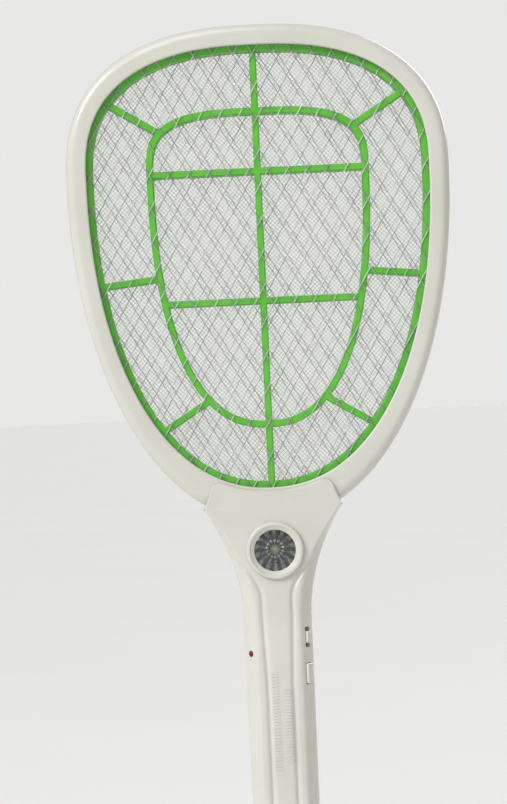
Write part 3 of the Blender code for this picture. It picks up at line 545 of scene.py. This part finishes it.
def shoulder_place(z, side):
    """A frame on the front shoulder: Z out of the slope, Y up the handle."""
    width, depth = handle_half(z), handle_depth(z)
    low = Vector((width - 0.15 * SHOULDER, -0.47 * depth, z))
    high = Vector((width - 0.85 * SHOULDER, -0.88 * depth, z))
    out = Vector((low.y - high.y, high.x - low.x, 0)).normalized()
    place = Matrix((Vector((0, 0, 1)).cross(out), (0, 0, 1), out)).transposed().to_4x4()
    place.translation = (low + high) / 2
    mirror = Matrix.Scale(side, 4, (1, 0, 0))
    return mirror @ place @ mirror


def cylinder(name, radius, start, end, sides=32):
    """A plain round rod between two points."""
    start, end = Vector(start), Vector(end)
    bpy.ops.object.select_all(action="DESELECT")
    bpy.ops.mesh.primitive_cylinder_add(vertices=sides, radius=radius, depth=(end - start).length)
    piece = bpy.context.object
    piece.name = piece.data.name = name
    turn = Vector((0, 0, 1)).rotation_difference(end - start).to_matrix().to_4x4()
    piece.data.transform(Matrix.Translation((start + end) / 2) @ turn)
    return piece


def shell(name, side, relief, marks=()):
    """Half of the handle as a closed bowl, with room for the ring. marks are further levels."""
    levels = [TAIL_Z + TAIL_ROUND_LENGTH * (i / 8) ** 1.6 for i in range(8)]
    levels += steps_between(TAIL_Z + TAIL_ROUND_LENGTH, FLARE_Z, 0.006)[:-1]
    levels += steps_between(FLARE_Z, NECK_TOP_Z, 0.0014)
    levels = sorted([*levels, *marks])
    outside = [rounded_tail(whole_section(half_section(z, relief), z, side), z) for z in levels]
    piece = loft(name, outside)
    if side < 0:
        rounding = ((0, 0.0009), (0.00007, 0.0005), (0.0002, 0.0002), (0.0005, 0.00006), (0.0009, 0))
        rims = [flat_loop(shield_outline(0), -(FACE - 0.001))]
        rims += [flat_loop(shield_outline(inset), -(NECK_DEPTH - drop)) for inset, drop in rounding]
        carve(piece, [loft("shield", rims)], "UNION")
    else:
        back = [flat_loop(shield_outline(0), FACE - 0.001), flat_loop(shield_outline(0), NECK_DEPTH - 0.0004)]
        back += [flat_loop(shield_outline(0.0004), NECK_DEPTH)]
        carve(piece, [loft("shield", back)], "UNION")
    inner_levels = steps_between(TAIL_Z + WALL, NECK_TOP_Z - WALL, 0.012)
    hollow = [whole_section(half_section(z, inset=WALL), z, side) for z in inner_levels]
    carve(piece, [loft("hollow", hollow)])
    seat = loft("seat", [flat_loop(head_outline(GAP), y) for y in (-side * 0.001, side * (FACE + GAP))])
    return carve(piece, [seat])


# Front half, with its openings for the lamp, the switch, the button and the charge light.
SWITCH_Z, BUTTON_Z, CHARGE_Z = 0.064, 0.044, 0.056
KNOB_WIDTH, KNOB_LENGTH, KNOB_TRAVEL = 0.0032, 0.0064, 0.002
BUTTON_WIDTH, BUTTON_LENGTH = 0.0046, 0.0110
CHARGE_RADIUS = 0.0015
LENS_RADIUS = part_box("lamp_lens")[1].x
handle_front = shell("handle_front", -1, front_relief)
openings = [
    cylinder("lamp_hole", LENS_RADIUS + 0.0014, (0, 0, LAMP_Z), (0, -0.02, LAMP_Z), 64),
    block("switch_slot", (KNOB_WIDTH + 2 * GAP, KNOB_LENGTH + 2 * KNOB_TRAVEL + 0.0008, 0.02), (0, 0, 0)),
    block("button_hole", (BUTTON_WIDTH + 2 * GAP, BUTTON_LENGTH + 2 * GAP, 0.02), (0, 0, 0), 0.0008),
    cylinder("charge_hole", CHARGE_RADIUS + GAP, (0, 0, -0.005), (0, 0, 0.005)),
]
for tool, (z, side) in zip(openings[1:], ((SWITCH_Z, 1), (BUTTON_Z, 1), (CHARGE_Z, -1))):
    tool.data.transform(shoulder_place(z, side))
carve(handle_front, openings)

# Grip ribs in two columns on the centre panel: short rounded bars, moulded with the shell.
RIB_PITCH = 0.0018
RIB_SIZE = (0.0042, 0.0006, 0.0008)
RIB_COLUMNS = ((-0.0032, -0.008, 0.045), (0.0036, -0.004, 0.036))
ribs = []
for x, column_low, column_high in RIB_COLUMNS:
    for z in steps_between(column_low, column_high, RIB_PITCH):
        ribs.append(block("grip_rib", RIB_SIZE, (x, -0.996 * handle_depth(z), z), 0.00025, 2))
finish(join([handle_front, *ribs]), ivory_abs, "ivory_abs", "housing", "front_handle_shell")

# Rear half, with its screw wells, the slot for the plug's slider and the two pin openings in the tail.
WELL_RADIUS, WELL_FLOOR = 0.0029, 0.0040
POST_RADIUS, SCREW_HOLE = 0.0038, 0.0015
PIN_LOW, PIN_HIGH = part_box("plug_pin_right")
SLIDER_LOW, SLIDER_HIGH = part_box("plug_slider")
PLUG_TRAVEL = 0.019
SLIDER_NECK = 0.005
label_ends = []
for step in range(4):
    reach = LABEL_HALF_LENGTH + LABEL_EDGE * step / 3
    label_ends += [LABEL_Z - reach, LABEL_Z + reach]
handle_rear = shell("handle_rear", 1, rear_relief, label_ends)
posts, wells = [], []
for number in range(1, 5):
    low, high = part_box(f"handle_screw_{number}")
    x, z = (low.x + high.x) / 2, (low.z + high.z) / 2
    posts.append(cylinder("post", POST_RADIUS, (x, GAP, z), (x, handle_depth(z) - WALL / 2, z)))
    wells.append(cylinder("well", WELL_RADIUS, (x, WELL_FLOOR, z), (x, 0.02, z)))
    wells.append(cylinder("hole", SCREW_HOLE, (x, -0.001, z), (x, WELL_FLOOR + 0.001, z), 16))
carve(handle_rear, posts, "UNION")
slider_z = (SLIDER_LOW.z + SLIDER_HIGH.z) / 2
slot_length = PLUG_TRAVEL + SLIDER_NECK + 2 * GAP
slot_centre = (0, GRIP_DEPTH, slider_z - PLUG_TRAVEL / 2)
wells.append(block("slider_slot", (SLIDER_NECK + 2 * GAP, 0.007, slot_length), slot_centre))
pin_size = (PIN_HIGH.x - PIN_LOW.x + 2 * GAP, PIN_HIGH.y - PIN_LOW.y + 2 * GAP, 0.01)
for side in (-1, 1):
    pin_x = side * (PIN_LOW.x + PIN_HIGH.x) / 2
    wells.append(block("pin_slot", pin_size, (pin_x, (PIN_LOW.y + PIN_HIGH.y) / 2, TAIL_Z)))
carve(handle_rear, wells)
finish(handle_rear, ivory_abs, "ivory_abs", "housing", "rear_handle_shell")

# The lamp ----------------------------------------------------------------------------------------
# A work light in the neck: an ivory ABS bezel pressed over the hole, a clear polycarbonate lens
# behind its lip, and a pleated parabolic reflector, vacuum-metallised, round one white LED.

BEZEL_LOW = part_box("lamp_bezel")[0]
LENS_LOW, LENS_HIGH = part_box("lamp_lens")
REFLECTOR_LOW, REFLECTOR_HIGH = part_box("lamp_reflector")
PLEATS = 14
PLEAT_DEPTH = 0.0010


def circle_loop(radius, depth, points, pleat=0.0):
    """A circle about the lamp's axis. A pleat draws every other point in towards it."""
    loop = []
    for number in range(points):
        angle = math.tau * number / points
        reach = radius - (pleat if number % 2 else 0.0)
        loop.append((reach * math.cos(angle), -depth, LAMP_Z + reach * math.sin(angle)))
    return loop


rim = -BEZEL_LOW.y
foot = NECK_DEPTH + GAP / 2
round_over = [math.pi / 2 * i / 6 for i in range(7)]
bezel_profile = [
    (LENS_RADIUS + 0.0011, foot),
    (BEZEL_RADIUS, foot),
    (BEZEL_RADIUS, rim - 0.0010),
    *[(BEZEL_RADIUS - 0.0010 * (1 - math.cos(a)), rim - 0.0010 * (1 - math.sin(a))) for a in round_over[1:]],
    (LENS_RADIUS + 0.0021, rim),
    (LENS_RADIUS + 0.0018, rim - 0.0001),
    (LENS_RADIUS + 0.0016, rim - 0.0006),
    (LENS_RADIUS + 0.0013, rim - 0.0008),
    (LENS_RADIUS + 0.0001, rim - 0.0010),
    (LENS_RADIUS - 0.0003, rim - 0.0013),
    (LENS_RADIUS - 0.0006, rim - 0.0016),
    (LENS_RADIUS - 0.0006, rim - 0.0018),
    (LENS_RADIUS + 0.0003, rim - 0.0018),
    (LENS_RADIUS + 0.0003, foot - 0.0035),
    (LENS_RADIUS + 0.0011, foot - 0.0035),
]
bezel = loft("bezel", [circle_loop(radius, depth, 96) for radius, depth in bezel_profile], "joined")
finish(bezel, ivory_abs, "ivory_abs", "housing", "lamp_bezel")

# Polycarbonate, clear as glass: it only shows where it mirrors a light.
clear_pc = surface_finish(
    "clear_polycarbonate", "#F7FAFB", "#F2F7F9", 0.02, 0.03, 0.003, 0.000002, ior=1.585
)
clear_pc.node_tree.nodes["Principled BSDF"].inputs["Transmission Weight"].default_value = 1.0
lens_back, lens_front = -LENS_HIGH.y, -LENS_LOW.y
lens_profile = [(0.002, lens_back), (LENS_RADIUS, lens_back), (LENS_RADIUS, lens_front - 0.0003)]
for a in round_over[1:-1]:
    lens_profile.append((LENS_RADIUS * math.cos(a), lens_front - 0.0003 * (1 - math.sin(a))))
lens = loft("lens", [circle_loop(radius, depth, 96) for radius, depth in lens_profile])
finish(lens, clear_pc, "clear_lens", "housing", "lamp_lens")

# Vacuum-metallised ABS: a mirror of aluminium. Its colour is painted in bands round the lamp's axis, one pair
# for each pleat: the bright metal tone on the crests and painted shade, a dark grey, down in the folds.
chrome = surface_finish(
    "vacuum_metallised_abs", "#F6F7F8", "#E9EAEC", 0.01, 0.07, 0.002, 0.000003, metallic=1.0
)
film_shader = chrome.node_tree.nodes["Principled BSDF"]
film_tone = film_shader.inputs["Base Color"].links[0].from_socket
place = add_node(chrome, "ShaderNodeTexCoord").outputs["Object"]
about_axis = {"Vector": place, "Location": (0, 0, LAMP_Z), "Rotation": (math.pi / 2, 0, 0)}
turned = add_node(chrome, "ShaderNodeMapping", about_axis, vector_type="TEXTURE").outputs["Vector"]
around = add_node(chrome, "ShaderNodeTexGradient", {"Vector": turned}, gradient_type="RADIAL")
turns = {0: around.outputs["Fac"], 1: math.tau * PLEATS}
phase = add_node(chrome, "ShaderNodeMath", turns, operation="MULTIPLY")
pleat_light_wave = add_node(chrome, "ShaderNodeMath", {0: phase.outputs[0]}, operation="COSINE")
fold_shade_share = add_node(
    chrome, "ShaderNodeMapRange", {"Value": pleat_light_wave.outputs[0], "From Min": -0.3, "From Max": 0.5}
)
# The dark tone #34363A is painted shade, laid into the colour along every fold.
tones = {0: fold_shade_share.outputs["Result"], 6: film_tone, 7: linear("#34363A")}
painted_pleat_light = add_node(chrome, "ShaderNodeMix", tones, data_type="RGBA")
chrome.node_tree.links.new(painted_pleat_light.outputs[2], film_shader.inputs["Base Color"])
bowl_top, bowl_foot = -REFLECTOR_LOW.y, -REFLECTOR_HIGH.y
led_hole = 0.0028
bowl = []
for i in range(13):
    share = i / 12
    radius = led_hole + (LENS_RADIUS - 0.0009 - led_hole) * share**0.50
    depth = bowl_foot + 0.001 + (bowl_top - bowl_foot - 0.0015) * share
    pleat = PLEAT_DEPTH * math.sin(math.pi * min(share + 0.05, 0.95))
    bowl.append(circle_loop(radius, depth, 2 * PLEATS, pleat))
bowl.append(circle_loop(LENS_RADIUS - 0.0004, bowl_top, 2 * PLEATS))
bowl.append(circle_loop(LENS_RADIUS, bowl_top, 2 * PLEATS))
bowl.append(circle_loop(LENS_RADIUS, bowl_top - 0.001, 2 * PLEATS))
bowl.append(circle_loop(0.80 * LENS_RADIUS, bowl_top - 0.0063, 2 * PLEATS))
bowl.append(circle_loop(led_hole + 0.0016, bowl_foot, 2 * PLEATS))
bowl.append(circle_loop(led_hole, bowl_foot, 2 * PLEATS))
finish(loft("reflector", bowl, "joined"), chrome, "chrome_reflector", "housing", "lamp_reflector", smooth=12)

# The LED's clear epoxy dome, tinted by the phosphor behind it.
epoxy = surface_finish(
    "clear_epoxy_over_phosphor", "#DAD8BC", "#C9C59C", 0.003, 0.12, 0.001, 0.000003, ior=1.55
)
LED_LOW, LED_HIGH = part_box("lamp_led")
led_radius = LED_HIGH.x
dome = [(led_radius, -LED_HIGH.y), (led_radius, -LED_LOW.y - led_radius)]
for a in round_over[1:-1]:
    dome.append((led_radius * math.cos(a), -LED_LOW.y - led_radius * (1 - math.sin(a))))
dome.append((0.0002, -LED_LOW.y))
led = loft("led", [circle_loop(radius, depth, 40) for radius, depth in dome])
finish(led, epoxy, "led_epoxy", "housing", "lamp_led")

# The controls ------------------------------------------------------------------------------------
# On the right shoulder a three-position slide switch and the press-to-swat button, both ivory ABS
# caps behind the wall with a flange each. On the left shoulder a red acrylic charge light.

FLANGE_TOP = -(WALL + 0.0011)
FLANGE = 0.0010
KNOB_PROUD, BUTTON_PROUD = 0.0016, 0.0017


def cap(name, width, length, proud, round_off, ridges, flange_length):
    """A keycap on its flange, at the origin, with Z out of the shell and low ridges across its top."""
    depth = proud - FLANGE_TOP + FLANGE / 2
    flange_size = (width + 0.0020, flange_length, FLANGE)
    ridge_size = (width - 2 * round_off, 0.0005, 0.0004)
    parts = [
        block(name, (width, length, depth), (0, 0, proud - depth / 2), round_off, 4),
        block("flange", flange_size, (0, 0, FLANGE_TOP - FLANGE / 2)),
    ]
    parts += [block("ridge", ridge_size, (0, y, proud - 0.0001), 0.00015, 2) for y in ridges]
    return join(parts)


knob_ridges = (-0.0018, -0.0006, 0.0006, 0.0018)
shutter = KNOB_LENGTH + 4 * KNOB_TRAVEL  # the knob's flange keeps the slot closed in all three positions
knob = cap("switch_knob", KNOB_WIDTH, KNOB_LENGTH, KNOB_PROUD - 0.0001, 0.0005, knob_ridges, shutter)
knob.data.transform(shoulder_place(SWITCH_Z, 1))
finish(knob, ivory_abs, "ivory_abs", "mode_knob", "mode_knob")
button_ridges = (-0.0012, 0.0, 0.0012)
button_top = BUTTON_PROUD - 0.0001
button_flange = BUTTON_LENGTH + 0.0020
button = cap(
    "press_button", BUTTON_WIDTH, BUTTON_LENGTH, button_top, 0.0009, button_ridges, button_flange
)
button.data.transform(shoulder_place(BUTTON_Z, 1))
finish(button, ivory_abs, "ivory_abs", "swat_button", "swat_button")

# Transparent red acrylic, dark until it is lit.
red_acrylic = surface_finish("red_acrylic", "#A8121C", "#930E18", 0.002, 0.10, 0.001, 0.000004, ior=1.49)
red_acrylic.node_tree.nodes["Principled BSDF"].inputs["Transmission Weight"].default_value = 0.35


def light_loop(radius, height):
    angles = [math.tau * i / 28 for i in range(28)]
    return [(radius * math.cos(a), radius * math.sin(a), height) for a in angles]


pip = [
    (CHARGE_RADIUS, -0.0060),
    (CHARGE_RADIUS, FLANGE_TOP - FLANGE),
    (CHARGE_RADIUS + 0.0006, FLANGE_TOP - FLANGE),
    (CHARGE_RADIUS + 0.0006, FLANGE_TOP),
    (CHARGE_RADIUS, FLANGE_TOP),
    (CHARGE_RADIUS, 0.0002),
    *[(CHARGE_RADIUS * math.cos(a), 0.0002 + 0.0009 * math.sin(a)) for a in round_over[1:-1]],
]
charge_light = loft("charge_light", [light_loop(radius, height) for radius, height in pip])
charge_light.data.transform(shoulder_place(CHARGE_Z, -1))
finish(charge_light, red_acrylic, "red_lens", "housing", "charge_indicator")

# The plug ----------------------------------------------------------------------------------------
# Two flat pins of nickel-plated brass on a black nylon carriage. An ivory thumb slider on the back,
# ridged across, pushes them out through the tail to charge the batteries.

# Nickel plate on brass: bright, faintly warm, with the drawing marks of the strip under it.
nickel = surface_finish(
    "nickel_plated_brass", "#D9D4C6", "#C9C3B2", 0.008, 0.20, 0.0008, 0.00001, metallic=1.0
)
for node, side in (("plug_pin_left", -1), ("plug_pin_right", 1)):
    low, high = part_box(node)
    size = [b - a for a, b in zip(low, high)]
    pin = block(f"{node}_blade", size, (low + high) / 2)
    bpy.ops.object.mode_set(mode="EDIT")
    mesh = bmesh.from_edit_mesh(pin.data)
    select_verts(mesh, [vert for vert in mesh.verts if vert.co.z < low.z + 0.001])
    bpy.ops.mesh.bevel(offset=0.0006, segments=4, affect="EDGES")
    bpy.ops.object.mode_set(mode="OBJECT")
    finish(pin, nickel, "nickel_plated_brass", "plug", node)

size = [b - a for a, b in zip(SLIDER_LOW, SLIDER_HIGH)]
pad = GRIP_DEPTH + GAP
slider_top = SLIDER_HIGH.y - 0.0006
pad_size = (size[0], slider_top - pad, size[2])
neck_top = pad + 0.001
neck_size = (SLIDER_NECK, neck_top - SLIDER_LOW.y, SLIDER_NECK)
slider_parts = [
    block("plug_thumb_slider", pad_size, (0, (pad + slider_top) / 2, slider_z), 0.0008, 4),
    block("slider_neck", neck_size, (0, (SLIDER_LOW.y + neck_top) / 2, slider_z)),
]
for number in range(-3, 4):
    ridge_z = slider_z + number * 0.0013
    slider_parts.append(block("ridge", (0.0090, 0.0012, 0.0007), (0, slider_top, ridge_z), 0.0002, 2))
finish(join(slider_parts), ivory_abs, "ivory_abs", "plug", "plug_slider")

# The screws --------------------------------------------------------------------------------------
# Four pan-head self-tapping screws of zinc-plated steel with a cross recess, down in the rear wells.

# Bright zinc plate over steel: a cool grey metal, a little cloudy, with soft highlights.
zinc = surface_finish(
    "zinc_plated_steel", "#B9BABD", "#A2A4A8", 0.004, 0.30, 0.0006, 0.000015, metallic=1.0
)
for number in range(1, 5):
    low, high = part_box(f"handle_screw_{number}")
    centre = (low + high) / 2
    head_radius = (high.x - low.x) / 2
    seat_y = WELL_FLOOR + GAP
    shape = [
        (0.0002, low.y),
        (0.0008, low.y + 0.0012),
        (0.0012, low.y + 0.002),
        (0.0012, seat_y),
        (head_radius, seat_y),
        (head_radius, high.y - 0.0009),
        (0.92 * head_radius, high.y - 0.0005),
        (0.75 * head_radius, high.y - 0.0002),
        (0.45 * head_radius, high.y - 0.00005),
        (0.0003, high.y),
    ]
    angles = [math.tau * i / 32 for i in range(32)]
    loops = [[(centre.x + r * math.cos(a), y, centre.z + r * math.sin(a)) for a in angles] for r, y in shape]
    screw = loft(f"screw_{number}", loops)
    recess = ((0.0028, 0.0022, 0.0006), (0.0006, 0.0022, 0.0028))
    carve(screw, [block("slot", size, (centre.x, high.y, centre.z), 0.0001, 1) for size in recess])
    finish(screw, zinc, "screw_steel", "housing", f"handle_screw_{number}")

# Inside the handle -------------------------------------------------------------------------------
# The charging and boost circuit, its battery block and leads, as they sit between the shells. These
# keep the frame's own shapes and get their real finishes.

# Phenolic paper laminate, sawn to size: a dull caramel brown with faint fibres.
paper_board = surface_finish("phenolic_paper_board", "#B98A4B", "#A97A3E", 0.004, 0.45, 0.0007, 0.00002)
# Moulded nylon: near black, with a soft sheen and a fine even texture.
nylon = surface_finish("moulded_nylon_black", "#1B1B1D", "#141416", 0.01, 0.42, 0.0009, 0.00002, ior=1.53)
# Pressed and sintered ferrite: a dark grey ceramic, dry and slightly gritty.
ferrite = surface_finish("sintered_ferrite", "#3A3B3E", "#2C2D30", 0.002, 0.62, 0.0004, 0.00003)
# Polyester tape wound round the coil: amber yellow, smooth and half glossy.
tape = surface_finish("polyester_winding_tape", "#D8B13A", "#C9A02C", 0.005, 0.30, 0.0012, 0.00002)
# Epoxy-dipped film capacitor: brick red, glossy, and lumpy where the dip ran.
film = surface_finish("dipped_film_capacitor", "#A5301F", "#8E2618", 0.003, 0.32, 0.0010, 0.00004)
# Heat-shrunk PVC sleeve on the aluminium can: dark blue with a tight even gloss.
sleeve = surface_finish("capacitor_sleeve", "#232B3E", "#1B2233", 0.003, 0.33, 0.0008, 0.00001)
# Baked lacquer over a carbon-film resistor: matt sand colour.
ceramic = surface_finish("resistor_lacquer", "#C8B48A", "#B7A274", 0.002, 0.50, 0.0004, 0.00002)
# Moulded epoxy round the diode's junction: black and nearly matt.
diode_epoxy = surface_finish("diode_epoxy", "#202022", "#17171A", 0.002, 0.48, 0.0003, 0.00001)
# Shrink sleeve over the cells: slate blue, glossy, and drawn into faint ripples.
battery_wrap = surface_finish("battery_shrink_sleeve", "#2E3C46", "#25323B", 0.012, 0.28, 0.0020, 0.00004)
# Extruded PVC insulation: smooth, even and slightly glossy in each of its three colours.
red_pvc = surface_finish("pvc_insulation_red", "#C3202A", "#B01A23", 0.005, 0.38, 0.0006, 0.00001)
black_pvc = surface_finish("pvc_insulation_black", "#1C1C1E", "#151517", 0.005, 0.38, 0.0006, 0.00001)
blue_pvc = surface_finish("pvc_insulation_blue", "#1F4FA8", "#1A4494", 0.005, 0.38, 0.0006, 0.00001)

inner_finishes = (
    (paper_board, ("main_circuit_board", "switch_board", "lamp_board")),
    (nylon, ("plug_carriage", "push_switch_body", "push_switch_plunger")),
    (zinc, ("mode_switch_body", "mode_switch_lever")),
    (nickel, ("mains_contact_left", "mains_contact_right")),
    (ferrite, ("transformer_core",)),
    (tape, ("transformer_winding",)),
    (film, ("high_voltage_capacitor", "charging_capacitor")),
    (sleeve, ("smoothing_capacitor",)),
    (ceramic, ("resistor_1", "resistor_2")),
    (diode_epoxy, tuple(f"rectifier_diode_{number}" for number in range(1, 5))),
    (battery_wrap, ("battery_block",)),
    (red_pvc, ("battery_lead_positive", "net_lead_middle", "lamp_lead_positive")),
    (black_pvc, ("battery_lead_negative", "net_lead_front", "net_lead_rear")),
    (blue_pvc, ("lamp_lead_negative",)),
)
for material, names in inner_finishes:
    for name in names:
        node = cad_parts[name]
        node.data.materials.clear()
        node.data.materials.append(material)

# Stage -------------------------------------------------------------------------------------------
# A plain pale floor under the swatter, which is held up by its grip, in a pale room with soft light
# from two sides. The room looks brighter than it lights, so that shapes still throw some shade.

FLOOR_Z, FLOOR_RADIUS = -0.16, 60
bpy.ops.object.select_all(action="DESELECT")
bpy.ops.mesh.primitive_circle_add(
    vertices=96, radius=FLOOR_RADIUS, fill_type="NGON", location=(0, 0, FLOOR_Z)
)
floor = bpy.context.object
floor.name = "floor"
# Matt emulsion on a level screed, with a roller's slight stipple.
floor.data.materials.append(surface_finish("floor_emulsion", "#EDEDEB", "#EBEBE9", 0.4, 0.8, 0.004, 0.0001))

world = bpy.data.worlds.new("studio")
bpy.context.scene.world = world
world.use_nodes = True
room = world.node_tree
room_light = room.nodes["Background"]
room_light.inputs["Color"].default_value = linear("#F8F8F6")
room_light.inputs["Strength"].default_value = 0.36
room_wall = add_node(world, "ShaderNodeBackground", {"Color": linear("#E8E8E6"), "Strength": 1.0})
seen = add_node(world, "ShaderNodeLightPath")
mix = add_node(
    world,
    "ShaderNodeMixShader",
    {0: seen.outputs["Is Camera Ray"], 1: room_light.outputs[0], 2: room_wall.outputs[0]},
)
room.links.new(mix.outputs[0], room.nodes["World Output"].inputs["Surface"])

for name, towards, spread, power in (
    ("key", (-0.70, -0.58, 0.62), 24, 1.8),
    ("back", (0.62, 0.70, 0.52), 40, 1.7),
):
    light = bpy.data.lights.new(name, "SUN")
    light.angle = math.radians(spread)
    light.energy = power
    sun = bpy.data.objects.new(name, light)
    sun.rotation_euler = Vector(towards).to_track_quat("Z", "Y").to_euler()
    bpy.context.scene.collection.objects.link(sun)

panel = bpy.data.lights.new("ceiling_panel", "AREA")
panel.shape = "RECTANGLE"
panel.size = 0.6
panel.size_y = 1.2
panel.energy = 7
ceiling = bpy.data.objects.new("ceiling_panel", panel)
ceiling.location = (-0.35, -1.0, 1.6)
ceiling.rotation_euler = Vector((-0.35, -1.0, 1.5)).to_track_quat("Z", "Y").to_euler()
bpy.context.scene.collection.objects.link(ceiling)

VIEW_HEIGHT = 0.4427
CAMERA_DISTANCE = 1.30
camera = bpy.data.objects.new("camera", bpy.data.cameras.new("camera"))
camera.data.sensor_fit = "VERTICAL"
camera.data.sensor_height = 24
camera.data.lens = camera.data.sensor_height * CAMERA_DISTANCE / VIEW_HEIGHT
camera.location = (-0.0081, -CAMERA_DISTANCE - FACE, 0.1945)
camera.rotation_euler = (math.radians(90), math.radians(2.63), 0)
bpy.context.scene.collection.objects.link(camera)
bpy.context.scene.camera = camera
bpy.context.scene.view_settings.view_transform = "Standard"
